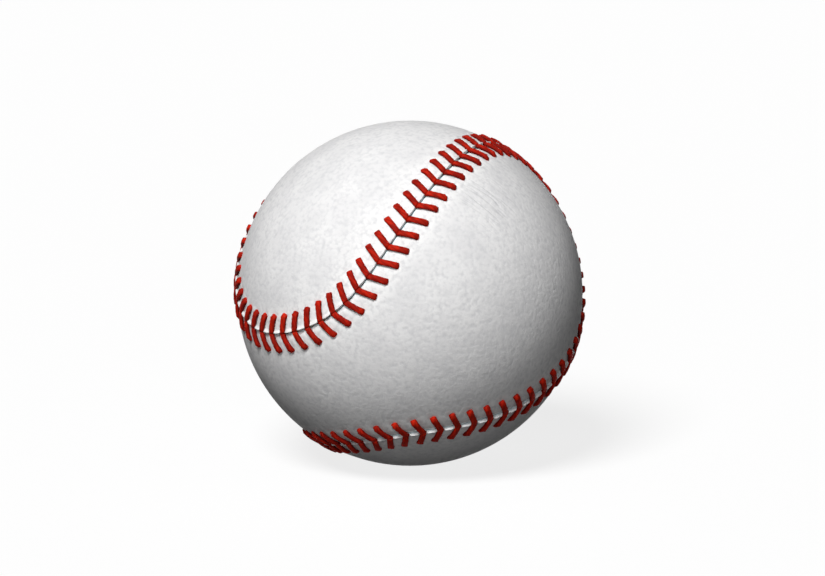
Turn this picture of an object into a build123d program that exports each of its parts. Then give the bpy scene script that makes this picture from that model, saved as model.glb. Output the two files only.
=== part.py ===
from build123d import *
import os
from math import atan2, cos, pi, sin, sqrt, tan

# A baseball: a cushioned cork centre, four yarn windings and a leather cover of two
# identical panels, sewn together along one closed seam with red double stitches.
# The origin is the ball's centre and +Z is up. The side where the seam crosses the ball
# as a long S faces -Y.

# Layers from the centre outwards, in millimetres
cork_diameter = 20.6
black_rubber_wall = 4.0
gasket_height = 1.0
red_rubber_wall = 2.4
grey_wool_wall = 14.6
white_wool_wall = 1.8
outer_wool_wall = 2.3
finish_yarn_wall = 0.5
cement_wall = 0.15
cover_thickness = 1.3

# Seam line: a wave of 0 is a plain circle, and a larger one draws the panels' waists in. The
# rise lifts the line towards the waists, and the ripple bends it on its way to them.
seam_wave_share = 0.305
seam_rise_share = 1.08
seam_ripple_share = -0.08
seam_gap = 0.4
edge_rounding_share = 0.8  # of the cover's thickness

# Stitches: each has two legs, one on each side of the seam, slanting the same way along it
stitch_count = 108
first_stitch_share = 0.0  # of one stitch
hole_offset = 3.8
stitch_lead = 1.45
thread_width = 1.35
thread_height = 0.85
thread_lift = 0.15  # under the middle of a leg
thread_dip = 20  # degrees, where a leg turns down into the seam's groove
thread_bend_share = 0.97  # of the room for the bend at the needle hole
thread_clearance = 0.03

# How the ball lies: the seam's own axes turned about X, Y and Z in degrees
seam_turn = (-54.7, 36.0, 53.7)

seam_points = 48
overrun = 2.0

cork_radius = cork_diameter / 2
black_rubber_radius = cork_radius + black_rubber_wall
red_rubber_radius = black_rubber_radius + red_rubber_wall
grey_wool_radius = red_rubber_radius + grey_wool_wall
white_wool_radius = grey_wool_radius + white_wool_wall
outer_wool_radius = white_wool_radius + outer_wool_wall
finish_yarn_radius = outer_wool_radius + finish_yarn_wall
cement_radius = finish_yarn_radius + cement_wall
ball_radius = cement_radius + cover_thickness

seam_frame = Plane.XY.rotated(seam_turn)
leg_foot_radius = ball_radius + thread_clearance
leg_run_radius = ball_radius + thread_lift + thread_height / 2
edge_rounding = cover_thickness * edge_rounding_share

os.makedirs("parts", exist_ok=True)


def seam_direction(turn):
    """Unit vector from the ball's centre to the seam line, turn running from 0 to 2 pi."""
    wave = seam_wave_share
    round_part = 1 - wave
    x = round_part * sin(turn) + wave * sin(3 * turn)
    y = round_part * cos(turn) - wave * cos(3 * turn)
    rise = seam_rise_share * 2 * sqrt(round_part * wave)
    z = rise * (cos(2 * turn) + seam_ripple_share * cos(6 * turn))
    return seam_frame.from_local_coords(Vector(x, y, z).normalized())


def beside(up, ahead, along, across):
    """Unit vector to a spot reached from a seam point over the ball's surface."""
    step = ahead * along + up.cross(ahead) * across
    angle = step.length / ball_radius
    return up * cos(angle) + step.normalized() * sin(angle)


def shell(outer_radius, inner_radius):
    """A hollow ball."""
    with BuildPart() as layer:
        Sphere(outer_radius)
        Sphere(inner_radius, mode=Mode.SUBTRACT)
    return layer


def save(piece, name):
    piece.part.label = name
    export_step(piece.part, f"parts/{name}.step")


# Seam line on the ball, by length, as the stitches are spaced
seam_spots = [seam_direction(2 * pi * i / seam_points) * ball_radius for i in range(seam_points)]
with BuildLine() as seam_path:
    Spline(*seam_spots, periodic=True)
seam_line = seam_path.edge()


def seam_place(share):
    """The seam's outward and forward directions at a share of its length."""
    up = (seam_line @ share).normalized()
    forward = seam_line % share
    ahead = (forward - up * forward.dot(up)).normalized()
    return up, ahead


# Cork core
with BuildPart() as cork_core:
    Sphere(cork_radius)
save(cork_core, "cork_core")

# Two black rubber half shells, with a gasket between their rims
for name, keep, rim in (
    ("black_rubber_shell_top", Keep.TOP, gasket_height / 2),
    ("black_rubber_shell_bottom", Keep.BOTTOM, -gasket_height / 2),
):
    with BuildPart() as half_shell:
        Sphere(black_rubber_radius)
        Sphere(cork_radius, mode=Mode.SUBTRACT)
        split(bisect_by=Plane.XY.offset(rim), keep=keep)
    save(half_shell, name)

with BuildPart() as rubber_gasket:
    Cylinder(black_rubber_radius, gasket_height)
    Sphere(black_rubber_radius, mode=Mode.INTERSECT)
    Sphere(cork_radius, mode=Mode.SUBTRACT)
save(rubber_gasket, "rubber_gasket")

# Two red rubber half shells, parted across the black ones
for name, keep in (("red_rubber_shell_front", Keep.TOP), ("red_rubber_shell_back", Keep.BOTTOM)):
    with BuildPart() as half_shell:
        Sphere(red_rubber_radius)
        Sphere(black_rubber_radius, mode=Mode.SUBTRACT)
        split(bisect_by=Plane.XZ, keep=keep)
    save(half_shell, name)

# Windings and the cement that holds the cover
save(shell(grey_wool_radius, red_rubber_radius), "grey_wool_winding")
save(shell(white_wool_radius, grey_wool_radius), "white_wool_winding")
save(shell(outer_wool_radius, white_wool_radius), "outer_wool_winding")
save(shell(finish_yarn_radius, outer_wool_radius), "finish_winding")
save(shell(cement_radius, finish_yarn_radius), "cement_coat")

# One leg of a stitch, in the frame of its seam point: up is Z and ahead along the seam is X.
# It turns up out of its needle hole, lies over the leather and dips into the groove at the
# seam, where it follows the panel's rounded edge. The seam's own plane cuts it off there.
up, ahead = Vector(0, 0, 1), Vector(1, 0, 0)
dip = thread_dip * pi / 180
slant = atan2(stitch_lead, hole_offset)
over_seam = (thread_width * sin(slant) + thread_height * sin(dip)) / 2 + thread_clearance
hole_way = beside(up, ahead, -stitch_lead, -hole_offset)
end_way = beside(up, ahead, over_seam * tan(slant), over_seam)
leg_plane = Plane(origin=(0, 0, 0), x_dir=end_way - hole_way, z_dir=end_way.cross(hole_way))
half_angle = hole_way.get_angle(end_way) * pi / 360
half_run = tan(half_angle) * leg_run_radius
hole_bend = (leg_run_radius - leg_foot_radius) * thread_bend_share / tan(pi / 4 + half_angle / 2)
seam_bend = edge_rounding / cos(slant)**2 + leg_run_radius - ball_radius
dip_length = (seam_gap / 2 + edge_rounding + over_seam) / cos(slant) - seam_bend * tan(dip / 2)

with BuildPart() as stitch_leg:
    with BuildLine(leg_plane) as leg_path:
        FilletPolyline(
            (-sin(half_angle) * leg_foot_radius, cos(half_angle) * leg_foot_radius),
            (-half_run, leg_run_radius),
            (half_run - dip_length, leg_run_radius),
            (half_run, leg_run_radius - dip_length * tan(dip)),
            radius=(hole_bend, seam_bend),
        )
    with BuildSketch(Plane(origin=leg_path.line @ 0, x_dir=leg_plane.z_dir, z_dir=leg_path.line % 0)):
        Ellipse(thread_width / 2, thread_height / 2)
    sweep()
    split(bisect_by=Plane.XZ.offset(thread_clearance), keep=Keep.TOP)

# The seam points of all stitches
stitch_frames = []
for i in range(stitch_count):
    up, ahead = seam_place((i + first_stitch_share) / stitch_count)
    stitch_frames.append(Plane(origin=(0, 0, 0), x_dir=ahead, z_dir=up))

with BuildPart() as stitches_a:
    with Locations(*stitch_frames):
        add(stitch_leg.part)
save(stitches_a, "stitches_a")

# Cover panels: each is cut out of a hollow ball by a curtain that stands along its side of the seam
for name, side, keep in (("cover_panel_a", -1, Keep.TOP), ("cover_panel_b", 1, Keep.BOTTOM)):
    curtain_ways = [beside(*seam_place(i / seam_points), 0, side * seam_gap / 2) for i in range(seam_points)]
    curtain = Face.make_surface_from_curves(
        Edge.make_spline([way * (cement_radius - overrun) for way in curtain_ways], periodic=True),
        Edge.make_spline([way * (ball_radius + overrun) for way in curtain_ways], periodic=True),
    )
    with BuildPart() as cover_panel:
        Sphere(ball_radius)
        Sphere(cement_radius, mode=Mode.SUBTRACT)
        split(bisect_by=curtain, keep=keep)
        rim_edges = cover_panel.edges().filter_by(GeomType.BSPLINE).filter_by(
            lambda edge: (edge @ 0.5).length > ball_radius - cover_thickness / 2
        )
        fillet(rim_edges, edge_rounding)
    save(cover_panel, name)

# The legs on the other side of the seam are the same, turned a quarter and mirrored
seam_axis = Axis((0, 0, 0), seam_frame.z_dir)
with BuildPart() as stitches_b:
    mirror(stitches_a.part.rotate(seam_axis, -90), about=seam_frame)
save(stitches_b, "stitches_b")
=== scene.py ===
import math
import random
from bisect import bisect_right

import bmesh
import bpy
from mathutils import Matrix, Vector


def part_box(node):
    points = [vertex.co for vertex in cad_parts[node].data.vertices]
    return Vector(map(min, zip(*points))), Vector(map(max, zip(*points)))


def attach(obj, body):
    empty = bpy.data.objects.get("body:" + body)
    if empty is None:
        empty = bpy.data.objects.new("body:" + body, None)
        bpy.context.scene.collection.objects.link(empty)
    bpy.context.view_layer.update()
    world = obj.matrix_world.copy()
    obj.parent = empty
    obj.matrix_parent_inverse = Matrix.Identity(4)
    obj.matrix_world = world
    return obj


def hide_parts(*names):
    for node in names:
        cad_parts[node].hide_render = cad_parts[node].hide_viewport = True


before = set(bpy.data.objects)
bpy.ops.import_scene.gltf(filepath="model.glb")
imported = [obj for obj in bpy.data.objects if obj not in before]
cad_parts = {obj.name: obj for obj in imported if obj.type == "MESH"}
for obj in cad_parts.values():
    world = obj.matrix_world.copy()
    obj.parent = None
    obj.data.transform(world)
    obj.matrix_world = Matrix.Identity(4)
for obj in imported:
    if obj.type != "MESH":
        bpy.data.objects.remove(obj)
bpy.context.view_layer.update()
mm = 0.001

# Sizes that come from the solids: the leather's outside and inside
coverBoxes = [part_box("cover_panel_a"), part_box("cover_panel_b")]
ballRadius = max(max(high) for low, high in coverBoxes)
linerRadius = max(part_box("cement_coat")[1])

seam = {
    "wave": 0.305,                   # 0 would be a plain circle
    "rise": 1.08,                    # lifts the line towards the panels' waists
    "ripple": -0.08,                 # bends it on its way to them
    "turn": (-54.7, 36.0, 53.7),     # degrees, how the ball lies
    "headingStep": 0.002,            # radians
    "gap": 0.10 * mm,
    "stitches": 108,
    "firstStitch": 0.0,              # of one stitch
    "slant": 1.45 / 3.8,             # a leg's lead along the seam for each step across it
    "holeOffset": 3.86 * mm,
    "lengthSteps": 8640,
}


def seamPoint(turn):
    wave = seam["wave"]
    rest = 1 - wave
    rise = seam["rise"] * 2 * math.sqrt(rest * wave)
    return Vector((
        rest * math.sin(turn) + wave * math.sin(3 * turn),
        rest * math.cos(turn) - wave * math.cos(3 * turn),
        rise * (math.cos(2 * turn) + seam["ripple"] * math.cos(6 * turn)),
    )).normalized()


def seamHeading(turn):
    step = seam["headingStep"]
    return (seamPoint(turn + step) - seamPoint(turn - step)).normalized()


def measureSeam():
    steps = seam["lengthSteps"]
    lengths = [0.0]
    last = seamPoint(0)
    for i in range(1, steps + 1):
        here = seamPoint(2 * math.pi * i / steps)
        lengths.append(lengths[-1] + (here - last).length)
        last = here
    return lengths


seamLengths = measureSeam()
seamLength = seamLengths[-1] * ballRadius
pitch = seamLength / seam["stitches"]


def seamTurns(count, start):
    # turns of evenly spaced places along the seam, counted from start
    turns = []
    for i in range(count):
        wanted = (start + i) / count % 1 * seamLengths[-1]
        j = bisect_right(seamLengths, wanted) - 1
        part = (wanted - seamLengths[j]) / (seamLengths[j + 1] - seamLengths[j])
        turns.append(2 * math.pi * (j + part) / seam["lengthSteps"])
    return turns


def seamPlace(turn):
    up = seamPoint(turn)
    ahead = seamHeading(turn)
    return up, ahead, up.cross(ahead)


def awayFrom(up, side, across):
    angle = across / ballRadius
    return up * math.cos(angle) + side * math.sin(angle)


leather = {
    "columnsPerStitch": 10,
    "edgeRows": 6,
    "lipPlace": 0.20 * mm,
    "lipSize": 0.42 * mm,
    "tuckWidth": 1.7 * mm,
    "edgeDepth": 1.25 * mm,
    "bandRows": (                    # mm from the seam
        0.36, 0.52, 0.75, 1.05, 1.4, 1.8, 2.2, 2.6, 3.0, 3.4, 3.8, 4.2, 4.6, 5.1, 6.0, 7.2,
    ),
    "middleRows": 14,
    "middleReach": 108.0,            # degrees from the waist to a lobe's middle
    "scallop": 0.18 * mm,
    "press": 0.06 * mm,              # under a leg
    "bulge": 0.08 * mm,              # between two legs
    "dimple": 0.10 * mm,             # at a needle hole
    "dimpleSize": 0.75 * mm,
    "legSpread": 0.95 * mm,
    "lipFree": (0.10, 0.30),         # of a pitch from a leg, where the lip comes up
    "sewingStart": (0.2 * mm, 1.2 * mm),
    "sewingEnd": (3.2 * mm, 5.4 * mm),
    "scallopPlace": 0.4 * mm,
    "scallopReach": (0.3 * mm, 2.2 * mm),
    "grooveReach": (0.10 * mm, 0.45 * mm),
    "bandReach": (4.0 * mm, 7.2 * mm),
    "mergeDistance": 0.01 * mm,
    "shellThickness": 1.0 * mm,      # until the inside is laid on the cement
    "innerGap": 0.03 * mm,
}

# one panel's edge stands up a little along the seam, the other's is drawn down beside it
# shade: how strongly painted shade colours this edge beside the seam
proudEdge = {"width": 0.14 * mm, "drop": 0.14 * mm, "lip": 0.60 * mm, "tuck": 0.0, "shade": 0.0}
tuckedEdge = {"width": 0.24 * mm, "drop": 0.22 * mm, "lip": 0.0, "tuck": 0.20 * mm, "shade": 1.0}


def legAlong(across):
    # how far behind its apex a leg lies at this distance from the seam
    return -seam["slant"] * min(across, seam["holeOffset"])


def smooth(low, high, value):
    x = min(max((value - low) / (high - low), 0.0), 1.0)
    return x * x * (3 - 2 * x)


def offLeg(along, across):
    # distance along the seam from the nearest leg
    return (along - legAlong(across) + pitch / 2) % pitch - pitch / 2


def leatherHeight(along, across, edge):
    # what the sewing does to the leather: pressed by legs, drawn in at holes, proud between them
    off = offLeg(along, across)
    underLeg = math.exp(-(off / leather["legSpread"]) ** 2)
    inSewing = smooth(*leather["sewingStart"], across) * (1 - smooth(*leather["sewingEnd"], across))
    atHole = math.exp(-(off * off + (across - seam["holeOffset"]) ** 2) / leather["dimpleSize"] ** 2)
    between = 0.5 - 0.5 * math.cos(2 * math.pi * off / pitch)
    freeFrom, freeTo = leather["lipFree"]
    free = smooth(freeFrom * pitch, freeTo * pitch, abs(off))
    lip = edge["lip"] * math.exp(-((across - leather["lipPlace"]) / leather["lipSize"]) ** 2) * free
    tuck = edge["tuck"] * (1 - smooth(0, leather["tuckWidth"], across))
    sewn = inSewing * (leather["bulge"] * between - leather["press"] * underLeg)
    return lip - tuck + sewn - leather["dimple"] * atHole


def panelSpot(up, side, along, across, height):
    # side points into this panel
    edge = math.exp(-(offLeg(along, leather["scallopPlace"]) / leather["legSpread"]) ** 2)
    nearEdge = 1 - smooth(*leather["scallopReach"], across)
    moved = across + leather["scallop"] * edge * nearEdge
    return awayFrom(up, side, moved) * (ballRadius + height)


def growRow(bm, ring, places):
    # extrudes an edge ring and puts each new vertex in its place
    count = len(ring)
    edges = [bm.edges.get((ring[i], ring[(i + 1) % count])) for i in range(count)]
    made = bmesh.ops.extrude_edge_only(bm, edges=edges)["geom"]
    fresh = {v for v in made if isinstance(v, bmesh.types.BMVert)}
    grown = []
    for vert, place in zip(ring, places):
        twin = next(e.other_vert(vert) for e in vert.link_edges if e.other_vert(vert) in fresh)
        twin.co = place
        grown.append(twin)
    return grown


def makePanel(edge):
    # the panel whose waist is at the seam frame's +Z and whose lobes are at its +X and -X
    perStitch = leather["columnsPerStitch"]
    columns = seam["stitches"] * perStitch
    turns = seamTurns(columns, seam["firstStitch"] * perStitch)
    places = [seamPlace(turn) for turn in turns]
    alongs = [(i % perStitch) / perStitch * pitch for i in range(columns)]
    profile = [(seam["gap"] / 2, leather["edgeDepth"])]
    for i in range(leather["edgeRows"]):
        lean = math.pi / 2 * (1 - i / (leather["edgeRows"] - 1))
        profile.append((
            seam["gap"] / 2 + edge["width"] * (1 - math.sin(lean)),
            edge["drop"] * (1 - math.cos(lean)),
        ))
    profile += [(across * mm, 0.0) for across in leather["bandRows"]]

    bm = bmesh.new()
    groove = bm.verts.layers.float.new("groove")
    sewnBand = bm.verts.layers.float.new("sewnBand")
    ring = bmesh.ops.create_circle(bm, segments=columns, radius=1.0)["verts"]
    for i, (across, drop) in enumerate(profile):
        row = []
        for (up, ahead, side), along in zip(places, alongs):
            height = leatherHeight(along, across, edge) - drop
            row.append(panelSpot(up, -side, along, across, height))
        if i == 0:
            for vert, place in zip(ring, row):
                vert.co = place
        else:
            ring = growRow(bm, ring, row)
        for vert in ring:
            # painted shade: the tucked edge near the seam and both panels' deepest row in the gap take
            # the cool grey shade colour
            shade = edge["shade"] * (1 - smooth(*leather["grooveReach"], across))
            vert[groove] = shade if i else 1.0
            vert[sewnBand] = 1 - smooth(*leather["bandReach"], across)
    # from the sewn band to the line along the panel's middle, where both sides meet
    middles = []
    for turn in turns:
        reach = math.radians(leather["middleReach"]) * math.sin(turn)
        middles.append(Vector((math.sin(reach), 0, math.cos(reach))))
    starts = [v.co.normalized() for v in ring]
    for i in range(1, leather["middleRows"] + 1):
        part = i / leather["middleRows"]
        ring = growRow(bm, ring, [a.slerp(b, part) * ballRadius for a, b in zip(starts, middles)])
        for vert in ring:
            vert[groove] = 0.0
            vert[sewnBand] = 0.0
    bmesh.ops.remove_doubles(bm, verts=ring, dist=leather["mergeDistance"])
    bmesh.ops.recalc_face_normals(bm, faces=bm.faces[:])
    if sum(f.normal.dot(f.calc_center_median()) for f in bm.faces) < 0:
        bmesh.ops.reverse_faces(bm, faces=bm.faces[:])
    outer = set(bm.verts)
    bmesh.ops.solidify(bm, geom=bm.faces[:], thickness=leather["shellThickness"])
    for vert in bm.verts:
        if vert not in outer:
            vert.co = vert.co.normalized() * (linerRadius + leather["innerGap"])
    return bm


thread = {
    "halfWidth": 0.79 * mm,          # of the cage, which the rounding draws in by a tenth
    "halfHeight": 0.52 * mm,
    "roundness": 0.75,               # 1 is an ellipse
    "tipRoundness": 0.35,
    "tipRings": 3,
    "sides": 8,
    "plyDepth": 0.92,                # of the radius, between the plies
    "twist": 38.0,                   # degrees from ring to ring
    "route": (                       # mm: across from the seam, height over the ball
        (0.04, 0.28), (0.75, 0.38), (1.65, 0.43), (2.70, 0.40),
        (3.50, 0.30), (3.86, 0.06), (3.90, -0.50),
    ),
    "turnSpread": 1.6,               # degrees, unevenness of hand sewing
    "placeSpread": 0.05 * mm,
    "seed": 108,
    "levels": 1,
}


def squared(value, roundness):
    return math.copysign(abs(value) ** roundness, value)


def legSpot(across, height):
    step = Vector((-seam["slant"] * across, -across, 0))
    angle = step.length / ballRadius
    way = Vector((0, 0, 1)) * math.cos(angle) + step.normalized() * math.sin(angle)
    return way * (ballRadius + height)


def makeLeg():
    # one leg in the frame of its seam point: X ahead along the seam, Y across it, Z up
    sides = thread["sides"]
    bm = bmesh.new()
    uv = bm.loops.layers.uv.new("ply")
    crease = bm.edges.layers.float.new("crease_edge")
    # 1 on top of each ring, 0 underneath: the thread's colour uses it for painted light on top and
    #                                      painted shade underneath
    paintedTopLight = bm.verts.layers.float.new("paintedTopLight")
    bm.verts.layers.float.new("tone")
    wide = Vector((-seam["slant"], -1, 0)).cross(Vector((0, 0, 1))).normalized()
    route = [legSpot(across * mm, height * mm) for across, height in thread["route"]]
    marks = {}
    for i, spot in enumerate(route):
        along = (route[min(i + 1, len(route) - 1)] - route[max(i - 1, 0)]).normalized()
        high = wide.cross(along)
        atTip = i >= len(route) - thread["tipRings"]
        roundness = thread["tipRoundness"] if atTip else thread["roundness"]
        places = []
        topLightShares = []
        for k in range(sides):
            angle = 2 * math.pi * k / sides + math.radians(thread["twist"]) * i
            size = thread["plyDepth"] if k % 2 else 1.0
            places.append(
                spot
                + wide * thread["halfWidth"] * size * squared(math.cos(angle), roundness)
                + high * thread["halfHeight"] * size * squared(math.sin(angle), roundness)
            )
            topLightShares.append((1 + math.sin(angle)) / 2)
        if i == 0:
            # the first ring is mitred to the seam, where the two legs of a stitch meet
            places = [place - along * ((place.y - spot.y) / along.y) for place in places]
            ring = bmesh.ops.create_circle(bm, segments=sides, radius=1.0, cap_ends=True)["verts"]
            for vert, place in zip(ring, places):
                vert.co = place
            for edge in bm.edges:
                edge[crease] = 1.0
        else:
            ring = growRow(bm, ring, places)
        for k, vert in enumerate(ring):
            marks[vert] = (k, i)
            vert[paintedTopLight] = topLightShares[k]
    bmesh.ops.contextual_create(bm, geom=ring)
    bmesh.ops.recalc_face_normals(bm, faces=bm.faces[:])
    for face in bm.faces:
        columns = [marks[loop.vert][0] for loop in face.loops]
        wraps = len(columns) == 4 and 0 in columns and sides - 1 in columns
        for loop in face.loops:
            k, i = marks[loop.vert]
            k = sides if wraps and k == 0 else k
            loop[uv].uv = (k / sides, i / (len(route) - 1))
    return bm


def makeStitches(draw):
    leg = makeLeg()
    legMesh = bpy.data.meshes.new("legShape")
    leg.to_mesh(legMesh)
    leg.free()
    bm = bmesh.new()
    for turn in seamTurns(seam["stitches"], seam["firstStitch"]):
        up, ahead, side = seamPlace(turn)
        basis = Matrix((ahead, side, up)).transposed().to_4x4()
        lean = Matrix.Rotation(math.radians(draw.uniform(-1, 1) * thread["turnSpread"]), 4, "Z")
        slip = Matrix.Translation((draw.uniform(-1, 1) * thread["placeSpread"], 0, 0))
        before = len(bm.verts)
        bm.from_mesh(legMesh)
        bm.verts.ensure_lookup_table()
        tone = bm.verts.layers.float["tone"]
        legTone = draw.random()
        for vert in bm.verts[before:]:
            vert[tone] = legTone
        bmesh.ops.transform(bm, matrix=basis @ slip @ lean, verts=bm.verts[before:])
    bpy.data.meshes.remove(legMesh)
    return bm


turnX, turnY, turnZ = (math.radians(angle) for angle in seam["turn"])
lie = (
    Matrix.Rotation(turnX, 4, "X")
    @ Matrix.Rotation(turnY, 4, "Y")
    @ Matrix.Rotation(turnZ, 4, "Z")
)
otherSide = Matrix.Scale(-1, 4, (0, 0, 1)) @ Matrix.Rotation(math.radians(-90), 4, "Z")


def finishPiece(bm, name, node, material):
    bmesh.ops.transform(bm, matrix=lie, verts=bm.verts[:])
    mesh = bpy.data.meshes.new(name)
    bm.to_mesh(mesh)
    bm.free()
    for face in mesh.polygons:
        face.use_smooth = True
    piece = bpy.data.objects.new(name, mesh)
    bpy.context.scene.collection.objects.link(piece)
    mesh.materials.append(material)
    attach(piece, "root")
    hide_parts(node)
    return piece


def turnOver(bm):
    # the same shape on the seam's other side
    bmesh.ops.transform(bm, matrix=otherSide, verts=bm.verts[:])
    bmesh.ops.reverse_faces(bm, faces=bm.faces[:])
    return bm


def feed(tree, socket, value):
    # a socket takes a link from another node or a plain value
    if isinstance(value, bpy.types.NodeSocket):
        tree.links.new(value, socket)
    else:
        socket.default_value = value


def addNode(tree, kind, settings=None, **inputs):
    node = tree.nodes.new("ShaderNode" + kind)
    for key, value in (settings or {}).items():
        setattr(node, key, value)
    for key, value in inputs.items():
        feed(tree, node.inputs[key.replace("_", " ")], value)
    return node


def addMath(tree, operation, *values):
    node = tree.nodes.new("ShaderNodeMath")
    node.operation = operation
    for socket, value in zip(node.inputs, values):
        feed(tree, socket, value)
    return node.outputs[0]


def addMix(tree, factor, first, second):
    node = tree.nodes.new("ShaderNodeMix")
    node.data_type = "RGBA"
    for index, value in ((0, factor), (6, first), (7, second)):
        feed(tree, node.inputs[index], value)
    return node.outputs[2]


def addRange(tree, value, low, high, toLow=0.0, toHigh=1.0):
    node = addNode(tree, "MapRange", From_Min=low, From_Max=high, To_Min=toLow, To_Max=toHigh)
    tree.links.new(value, node.inputs["Value"])
    return node.outputs["Result"]


def newGroup(name, inputs, outputs):
    group = bpy.data.node_groups.new(name, "ShaderNodeTree")
    for label, kind in inputs:
        group.interface.new_socket(name=label, in_out="INPUT", socket_type="NodeSocket" + kind)
    for label, kind in outputs:
        group.interface.new_socket(name=label, in_out="OUTPUT", socket_type="NodeSocket" + kind)
    return group, group.nodes.new("NodeGroupInput").outputs, group.nodes.new("NodeGroupOutput").inputs


def useGroup(tree, group, **inputs):
    node = tree.nodes.new("ShaderNodeGroup")
    node.node_tree = group
    for key, value in inputs.items():
        feed(tree, node.inputs[key], value)
    return node.outputs


grainForm = {
    "detail": 4.0,
    "roughness": 0.6,
    "cellShare": 1.3,                # of the scale
    "cellHeight": -0.5,
    "blotchShare": 0.16,             # of the scale
    "blotchDetail": 3.0,
}


def makeGrain():
    # small uneven cells with softer blotches over them
    group, given, result = newGroup(
        "fineGrain",
        [("Vector", "Vector"), ("Scale", "Float")],
        [("Height", "Float"), ("Blotch", "Float")],
    )
    place = given["Vector"]
    ripple = addNode(
        group, "TexNoise",
        Vector=place, Scale=given["Scale"],
        Detail=grainForm["detail"], Roughness=grainForm["roughness"],
    )
    cellScale = addMath(group, "MULTIPLY", given["Scale"], grainForm["cellShare"])
    cells = addNode(group, "TexVoronoi", {"feature": "SMOOTH_F1"}, Vector=place, Scale=cellScale)
    blotchScale = addMath(group, "MULTIPLY", given["Scale"], grainForm["blotchShare"])
    blotch = addNode(
        group, "TexNoise", Vector=place, Scale=blotchScale, Detail=grainForm["blotchDetail"],
    )
    sunk = addMath(group, "MULTIPLY", cells.outputs["Distance"], grainForm["cellHeight"])
    feed(group, result["Height"], addMath(group, "ADD", ripple.outputs[0], sunk))
    feed(group, result["Blotch"], blotch.outputs[0])
    return group


yarnForm = {
    "turns": ((0.3, 0.5, 0.0), (1.5, 0.2, 0.7), (0.8, 1.4, 2.1), (2.3, 0.9, 1.2)),  # radians
    "distortion": 1.5,
    "detail": 2.0,
    "detailScale": 0.4,
    "patchScale": 70.0,
    "patchStep": 17.0,
    "patchEdge": (0.50, 0.53),
    "fuzzScale": 2600.0,
    "fuzzDetail": 3.0,
    "fuzzHeight": 0.35,
    "fuzzTone": (0.2, 0.8, 0.75, 1.0),
}


def makeYarn():
    # patches of parallel strands that cross each other, as on a machine-wound ball
    group, given, result = newGroup(
        "woundYarn",
        [("Vector", "Vector"), ("Scale", "Float")],
        [("Height", "Float"), ("StrandShadeAndFuzz", "Float")],
    )
    lay = None
    for i, angles in enumerate(yarnForm["turns"]):
        turned = addNode(group, "Mapping", Vector=given["Vector"], Rotation=angles).outputs[0]
        strands = addNode(
            group, "TexWave", {"bands_direction": "Z"},
            Vector=turned, Scale=given["Scale"], Distortion=yarnForm["distortion"],
            Detail=yarnForm["detail"], Detail_Scale=yarnForm["detailScale"],
        )
        if lay is None:
            lay = strands.outputs["Fac"]
        else:
            patchScale = yarnForm["patchScale"] + yarnForm["patchStep"] * i
            patch = addNode(group, "TexNoise", Vector=turned, Scale=patchScale, Detail=0.0)
            mask = addRange(group, patch.outputs[0], *yarnForm["patchEdge"])
            chosen = addNode(group, "Mix")
            for index, value in ((0, mask), (2, lay), (3, strands.outputs["Fac"])):
                feed(group, chosen.inputs[index], value)
            lay = chosen.outputs[0]
    fuzz = addNode(
        group, "TexNoise",
        Vector=given["Vector"], Scale=yarnForm["fuzzScale"], Detail=yarnForm["fuzzDetail"],
    ).outputs[0]
    fuzzHeight = addMath(group, "MULTIPLY", fuzz, yarnForm["fuzzHeight"])
    feed(group, result["Height"], addMath(group, "ADD", lay, fuzzHeight))
    # painted shade: darker in the gaps between strands where the bump sinks, times the fuzz's random
    # tone
    fuzzTone = addRange(group, fuzz, *yarnForm["fuzzTone"])
    feed(group, result["StrandShadeAndFuzz"], addMath(group, "MULTIPLY", lay, fuzzTone))
    return group


fineGrain = makeGrain()
woundYarn = makeYarn()


def newMaterial(name):
    material = bpy.data.materials.new(name)
    material.use_nodes = True
    tree = material.node_tree
    return material, tree, tree.nodes["Principled BSDF"]


def objectPlace(tree):
    return addNode(tree, "TexCoord").outputs["Object"]


leatherLook = {
    "sewnBandTone": (0.92, 0.92, 0.915, 1),         # lighter, in the sewn band along the seam
    "pale": (0.86, 0.855, 0.855, 1),
    "mottled": (0.79, 0.785, 0.79, 1),
    "paintedPoreShade": (0.70, 0.70, 0.71, 1),
    # painted shade for the seam's gap and the tucked edge
    "groove": (0.78, 0.92, 0.96, 1),
    "grainScale": 950.0,
    "grainDepth": 0.125 * mm,
    "creaseCentre": (16.6 * mm, -22.8 * mm, 24.5 * mm),
    "creaseReach": 9.0 * mm,
    "creaseTurn": (0.0, 0.59, -0.14),        # radians
    "creaseStretch": (7.0, 1.0, 1.0),
    "creaseScale": 520.0,
    "creaseBend": 0.3,
    "creaseWidth": 0.10,
    "creaseDepth": 1.2,                      # of the grain's
    "creaseCore": 0.3,                       # of the reach, where the creases are full
    "elsewhereScale": 45.0,
    "elsewhere": (0.50, 0.70, 0.0, 0.2),
    "bumpStrength": 0.6,
    "blotchEdge": (0.35, 0.65),
    "poreShadeEdge": (0.0, 0.35),
    "roughness": (0.0, 0.6, 0.85, 0.7),
    "gloss": 0.05,
}


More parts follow.
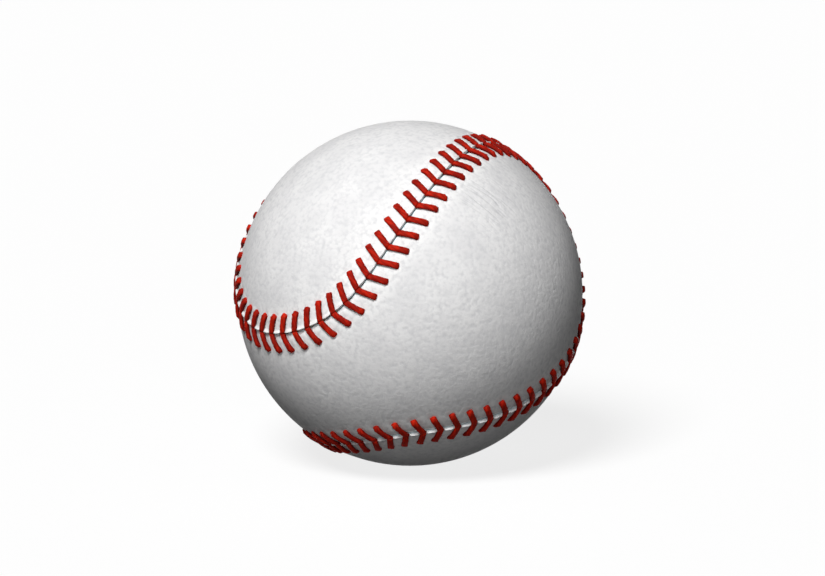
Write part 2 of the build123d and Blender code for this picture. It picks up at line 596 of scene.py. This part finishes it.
def leatherMaterial():
    material, tree, shader = newMaterial("whiteLeather")
    place = objectPlace(tree)
    grain = useGroup(tree, fineGrain, Vector=place, Scale=leatherLook["grainScale"])
    # long shallow creases, most of them in one place where the hide was stretched
    turned = addNode(
        tree, "Mapping", {"vector_type": "TEXTURE"},
        Vector=place, Rotation=leatherLook["creaseTurn"], Scale=leatherLook["creaseStretch"],
    )
    streaks = addNode(
        tree, "TexNoise",
        Vector=turned.outputs[0], Scale=leatherLook["creaseScale"],
        Detail=1.0, Distortion=leatherLook["creaseBend"],
    )
    offLine = addMath(tree, "ABSOLUTE", addMath(tree, "SUBTRACT", streaks.outputs[0], 0.5))
    away = addNode(tree, "VectorMath", {"operation": "DISTANCE"})
    feed(tree, away.inputs[0], place)
    feed(tree, away.inputs[1], leatherLook["creaseCentre"])
    reach = leatherLook["creaseReach"]
    inPatch = addRange(tree, away.outputs["Value"], leatherLook["creaseCore"] * reach, reach, 1.0, 0.0)
    region = addNode(tree, "TexNoise", Vector=place, Scale=leatherLook["elsewhereScale"], Detail=1.0)
    elsewhere = addRange(tree, region.outputs[0], *leatherLook["elsewhere"])
    creased = addMath(tree, "MAXIMUM", inPatch, elsewhere)
    line = addRange(tree, offLine, 0.0, leatherLook["creaseWidth"], -1.0, 0.0)
    crease = addMath(tree, "MULTIPLY", line, creased)
    sunk = addMath(tree, "MULTIPLY", crease, leatherLook["creaseDepth"])
    relief = addMath(tree, "ADD", grain["Height"], sunk)
    bump = addNode(
        tree, "Bump",
        Strength=leatherLook["bumpStrength"], Distance=leatherLook["grainDepth"], Height=relief,
    )
    feed(tree, shader.inputs["Normal"], bump.outputs[0])
    blotch = addRange(tree, grain["Blotch"], *leatherLook["blotchEdge"])
    tint = addMix(tree, blotch, leatherLook["mottled"], leatherLook["pale"])
    band = addNode(tree, "Attribute", {"attribute_name": "sewnBand"}).outputs["Fac"]
    tint = addMix(tree, band, tint, leatherLook["sewnBandTone"])
    # painted shade: darker where the grain is sunk, as shade in its pits
    poreShadeMask = addRange(tree, grain["Height"], *leatherLook["poreShadeEdge"])
    tint = addMix(tree, poreShadeMask, leatherLook["paintedPoreShade"], tint)
    # painted shade along the seam, in the gap and on the tucked edge
    groove = addNode(tree, "Attribute", {"attribute_name": "groove"}).outputs["Fac"]
    feed(tree, shader.inputs["Base Color"], addMix(tree, groove, tint, leatherLook["groove"]))
    feed(tree, shader.inputs["Roughness"], addRange(tree, grain["Height"], *leatherLook["roughness"]))
    shader.inputs["Specular IOR Level"].default_value = leatherLook["gloss"]
    return material


threadLook = {
    "bright": (0.58, 0.018, 0.004, 1),
    "deeper": (0.46, 0.012, 0.003, 1),
    # painted shade colour for ply valleys and the underside, also the dark end of the fibres' tone and
    # the dark patches
    "shadeAndFibreRed": (0.16, 0.004, 0.002, 1),
    "fibreStretch": (26.0, 5.0, 1.0),
    "fibreDetail": 3.0,
    "fibreHeight": 0.5,
    "bumpStrength": 0.5,
    "bumpDepth": 0.06 * mm,
    "plyValleyShade": (0.0, 0.5, 0.5, 1.0),
    "topLightTone": (0.42, 0.85),
    "fibreTone": (0.25, 0.5, 0.7, 1.0),
    "darkPatchScale": 520.0,
    "darkPatchTone": (0.42, 0.56, 0.45, 1.0),
    "roughness": (0.3, 0.7, 0.6, 0.8),
    "gloss": 0.08,
}


def threadMaterial():
    material, tree, shader = newMaterial("redThread")
    ply = addNode(tree, "UVMap", {"uv_map": "ply"}).outputs[0]
    apart = addNode(tree, "SeparateXYZ", Vector=ply)
    # the plies round the thread; painted shade makes the valleys between them and the thread's sides
    # and underside darker, and painted light makes its top lighter
    turned = addMath(tree, "MULTIPLY", apart.outputs["X"], thread["sides"] * math.pi)
    swell = addRange(tree, addMath(tree, "COSINE", turned), -1.0, 1.0)
    stretched = addNode(tree, "Mapping", Vector=ply, Scale=threadLook["fibreStretch"]).outputs[0]
    fibres = addNode(
        tree, "TexNoise", Vector=stretched, Scale=1.0, Detail=threadLook["fibreDetail"],
    ).outputs[0]
    relief = addMath(tree, "ADD", swell, addMath(tree, "MULTIPLY", fibres, threadLook["fibreHeight"]))
    bump = addNode(
        tree, "Bump",
        Strength=threadLook["bumpStrength"], Distance=threadLook["bumpDepth"], Height=relief,
    )
    feed(tree, shader.inputs["Normal"], bump.outputs[0])
    tone = addNode(tree, "Attribute", {"attribute_name": "tone"}).outputs["Fac"]
    paintedTopLight = addNode(tree, "Attribute", {"attribute_name": "paintedTopLight"}).outputs["Fac"]
    bright = addMix(tree, tone, threadLook["deeper"], threadLook["bright"])
    # random dark patches along the thread
    darkPatches = addNode(
        tree, "TexNoise", Vector=objectPlace(tree), Scale=threadLook["darkPatchScale"], Detail=1.0,
    ).outputs[0]
    # painted shade in the ply valleys and underneath and painted light on top, times the fibres' tone
    # and random dark patches
    shadeFibresAndPatches = addMath(
        tree, "MULTIPLY",
        addRange(tree, swell, *threadLook["plyValleyShade"]),
        addRange(tree, paintedTopLight, *threadLook["topLightTone"]),
    )
    shadeFibresAndPatches = addMath(tree, "MULTIPLY", shadeFibresAndPatches, addRange(tree, fibres, *threadLook["fibreTone"]))
    shadeFibresAndPatches = addMath(tree, "MULTIPLY", shadeFibresAndPatches, addRange(tree, darkPatches, *threadLook["darkPatchTone"]))
    feed(tree, shader.inputs["Base Color"], addMix(tree, shadeFibresAndPatches, threadLook["shadeAndFibreRed"], bright))
    feed(tree, shader.inputs["Roughness"], addRange(tree, fibres, *threadLook["roughness"]))
    shader.inputs["Specular IOR Level"].default_value = threadLook["gloss"]
    return material


yarnLook = {"bumpStrength": 0.8, "bumpDepth": 0.2 * mm, "roughness": 0.9}


def yarnMaterial(name, strandScale, light, dark):
    material, tree, shader = newMaterial(name)
    yarn = useGroup(tree, woundYarn, Vector=objectPlace(tree), Scale=strandScale)
    bump = addNode(
        tree, "Bump",
        Strength=yarnLook["bumpStrength"], Distance=yarnLook["bumpDepth"], Height=yarn["Height"],
    )
    feed(tree, shader.inputs["Normal"], bump.outputs[0])
    feed(tree, shader.inputs["Base Color"], addMix(tree, yarn["StrandShadeAndFuzz"], dark, light))
    shader.inputs["Roughness"].default_value = yarnLook["roughness"]
    return material


rubberLook = {
    "grainScale": 900.0,
    "bumpStrength": 0.3,
    "bumpDepth": 0.05 * mm,
    "grainEdge": (0.0, 0.6),
    "roughnessSpread": 0.1,
}


def rubberMaterial(name, light, dark, roughness):
    material, tree, shader = newMaterial(name)
    grain = useGroup(tree, fineGrain, Vector=objectPlace(tree), Scale=rubberLook["grainScale"])
    bump = addNode(
        tree, "Bump",
        Strength=rubberLook["bumpStrength"], Distance=rubberLook["bumpDepth"], Height=grain["Height"],
    )
    feed(tree, shader.inputs["Normal"], bump.outputs[0])
    feed(tree, shader.inputs["Base Color"], addMix(tree, grain["Blotch"], dark, light))
    spread = rubberLook["roughnessSpread"]
    uneven = addRange(
        tree, grain["Height"], *rubberLook["grainEdge"], roughness + spread, roughness - spread,
    )
    feed(tree, shader.inputs["Roughness"], uneven)
    return material


corkLook = {
    "dark": (0.36, 0.19, 0.085, 1),
    "light": (0.62, 0.40, 0.22, 1),
    "joint": (0.13, 0.065, 0.03, 1),
    "crumbScale": 620.0,
    "jointEdge": (0.02, 0.12),
    "grainScale": 2400.0,
    "grainHeight": 0.4,
    "bumpStrength": 0.6,
    "bumpDepth": 0.1 * mm,
    "roughness": 0.85,
}


def corkMaterial():
    material, tree, shader = newMaterial("compositionCork")
    place = objectPlace(tree)
    scale = corkLook["crumbScale"]
    crumbs = addNode(tree, "TexVoronoi", Vector=place, Scale=scale)
    joints = addNode(tree, "TexVoronoi", {"feature": "DISTANCE_TO_EDGE"}, Vector=place, Scale=scale)
    grain = useGroup(tree, fineGrain, Vector=place, Scale=corkLook["grainScale"])
    tint = addNode(tree, "SeparateColor", Color=crumbs.outputs["Color"]).outputs[0]
    crumb = addMix(tree, tint, corkLook["dark"], corkLook["light"])
    inCrumb = addRange(tree, joints.outputs["Distance"], *corkLook["jointEdge"])
    feed(tree, shader.inputs["Base Color"], addMix(tree, inCrumb, corkLook["joint"], crumb))
    rough = addMath(tree, "MULTIPLY", grain["Height"], corkLook["grainHeight"])
    relief = addMath(tree, "ADD", inCrumb, rough)
    bump = addNode(
        tree, "Bump",
        Strength=corkLook["bumpStrength"], Distance=corkLook["bumpDepth"], Height=relief,
    )
    feed(tree, shader.inputs["Normal"], bump.outputs[0])
    shader.inputs["Roughness"].default_value = corkLook["roughness"]
    return material


innerFinishes = (
    (corkMaterial(), ("cork_core",)),
    (
        rubberMaterial("blackRubber", (0.035, 0.035, 0.036, 1), (0.02, 0.02, 0.02, 1), 0.6),
        ("black_rubber_shell_top", "black_rubber_shell_bottom"),
    ),
    (
        rubberMaterial("redRubber", (0.46, 0.075, 0.05, 1), (0.34, 0.045, 0.03, 1), 0.55),
        ("rubber_gasket", "red_rubber_shell_front", "red_rubber_shell_back"),
    ),
    (
        yarnMaterial("greyWool", 210.0, (0.42, 0.42, 0.44, 1), (0.12, 0.12, 0.13, 1)),
        ("grey_wool_winding", "outer_wool_winding"),
    ),
    (
        yarnMaterial("whiteWool", 240.0, (0.82, 0.79, 0.72, 1), (0.34, 0.31, 0.27, 1)),
        ("white_wool_winding",),
    ),
    (
        yarnMaterial("finishYarn", 400.0, (0.84, 0.83, 0.79, 1), (0.40, 0.38, 0.34, 1)),
        ("finish_winding",),
    ),
    (
        rubberMaterial("driedCement", (0.72, 0.62, 0.42, 1), (0.60, 0.50, 0.31, 1), 0.35),
        ("cement_coat",),
    ),
)
for finish, names in innerFinishes:
    for name in names:
        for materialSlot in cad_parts[name].material_slots:
            materialSlot.material = finish
print("inner layers finished")

whiteLeather = leatherMaterial()
redThread = threadMaterial()
panelA = makePanel(proudEdge)
panelB = turnOver(makePanel(tuckedEdge))
finishPiece(panelA, "leatherPanelA", "cover_panel_a", whiteLeather)
finishPiece(panelB, "leatherPanelB", "cover_panel_b", whiteLeather)
print("leather panels made")

sewing = random.Random(thread["seed"])
for name, node, stitches in (
    ("threadLegsA", "stitches_a", makeStitches(sewing)),
    ("threadLegsB", "stitches_b", turnOver(makeStitches(sewing))),
):
    piece = finishPiece(stitches, name, node, redThread)
    rounded = piece.modifiers.new("rounded", "SUBSURF")
    rounded.levels = thread["levels"]
    rounded.render_levels = thread["levels"]
print("stitches made")

studio = {
    "keyFrom": (-0.25, -0.587, 0.769),
    "keyLight": 3.12,
    "keyAngle": 24.0,                # degrees across, so that shadows are soft
    "fillFrom": (0.0, -0.978, 0.208),
    "fillLight": 0.65,
    "fillAngle": 30.0,
    "backFrom": (0.0, 0.978, -0.208),  # from straight behind, so that the front doesn't change
    "backLight": 1.0,
    "worldLight": 0.04,
    "floorSize": 12.0,
    "floorGlow": (0.80, 0.80, 0.80, 1),
    "floorColor": (0.22, 0.22, 0.22, 1),
    "floorBounce": (0.04, 0.04, 0.04, 1),
}


def plainView(tree):
    # 1 for what the camera sees, straight or in a reflection
    path = addNode(tree, "LightPath").outputs
    seen = addMath(tree, "MAXIMUM", path["Is Camera Ray"], path["Is Glossy Ray"])
    return addMath(tree, "MAXIMUM", seen, path["Is Transmission Ray"])


def makeFloor():
    bm = bmesh.new()
    bmesh.ops.create_grid(bm, x_segments=1, y_segments=1, size=studio["floorSize"])
    bmesh.ops.translate(bm, vec=(0, 0, -ballRadius), verts=bm.verts[:])
    mesh = bpy.data.meshes.new("floor")
    bm.to_mesh(mesh)
    bm.free()
    floor = bpy.data.objects.new("floor", mesh)
    bpy.context.scene.collection.objects.link(floor)
    material, tree, shader = newMaterial("paleFloor")
    seen = plainView(tree)
    color = addMix(tree, seen, studio["floorBounce"], studio["floorColor"])
    feed(tree, shader.inputs["Base Color"], color)
    glow = addMix(tree, seen, (0, 0, 0, 1), studio["floorGlow"])
    feed(tree, shader.inputs["Emission Color"], glow)
    shader.inputs["Emission Strength"].default_value = 1.0
    shader.inputs["Roughness"].default_value = 1.0
    shader.inputs["Specular IOR Level"].default_value = 0.0
    mesh.materials.append(material)
    floor.visible_shadow = False


def makeSun(name, comesFrom, strength, angle):
    light = bpy.data.lights.new(name, "SUN")
    light.energy = strength
    light.angle = math.radians(angle)
    lamp = bpy.data.objects.new(name, light)
    bpy.context.scene.collection.objects.link(lamp)
    lamp.location = comesFrom
    lamp.rotation_euler = (-Vector(comesFrom)).to_track_quat("-Z", "Y").to_euler()


def makeLight():
    makeSun("key", studio["keyFrom"], studio["keyLight"], studio["keyAngle"])
    makeSun("fill", studio["fillFrom"], studio["fillLight"], studio["fillAngle"])
    makeSun("back", studio["backFrom"], studio["backLight"], studio["fillAngle"])
    world = bpy.data.worlds.new("studio")
    bpy.context.scene.world = world
    world.use_nodes = True
    tree = world.node_tree
    backdrop = tree.nodes["Background"]
    backdrop.inputs["Color"].default_value = (1, 1, 1, 1)
    level = addRange(tree, plainView(tree), 0.0, 1.0, studio["worldLight"], 1.0)
    feed(tree, backdrop.inputs["Strength"], level)


photo = {
    "width": 825,                    # pixels, as the centre and the radius
    "height": 576,
    "ballCentre": (409.9, 293.2),
    "ballRadius": 172.65,
    "distance": 5.0,                 # far off, as the photograph shows no clear perspective
    "elevation": 12.0,               # degrees
    "sensor": 36.0,
    "clipEnd": 50,
}


def makeCamera():
    data = bpy.data.cameras.new("photoCamera")
    camera = bpy.data.objects.new("photoCamera", data)
    bpy.context.scene.collection.objects.link(camera)
    tilt = math.radians(photo["elevation"])
    back = Vector((0, -math.cos(tilt), math.sin(tilt)))
    camera.location = back * photo["distance"]
    camera.rotation_euler = (-back).to_track_quat("-Z", "Y").to_euler()
    limbDistance = math.sqrt(photo["distance"] ** 2 - ballRadius ** 2)
    data.sensor_width = photo["sensor"]
    data.lens = photo["ballRadius"] * limbDistance / ballRadius * photo["sensor"] / photo["width"]
    data.shift_x = (photo["width"] / 2 - photo["ballCentre"][0]) / photo["width"]
    data.shift_y = (photo["ballCentre"][1] - photo["height"] / 2) / photo["width"]
    data.clip_end = photo["clipEnd"]
    bpy.context.scene.camera = camera


makeFloor()
makeLight()
makeCamera()
bpy.context.scene.view_settings.view_transform = "Standard"
print("studio made")
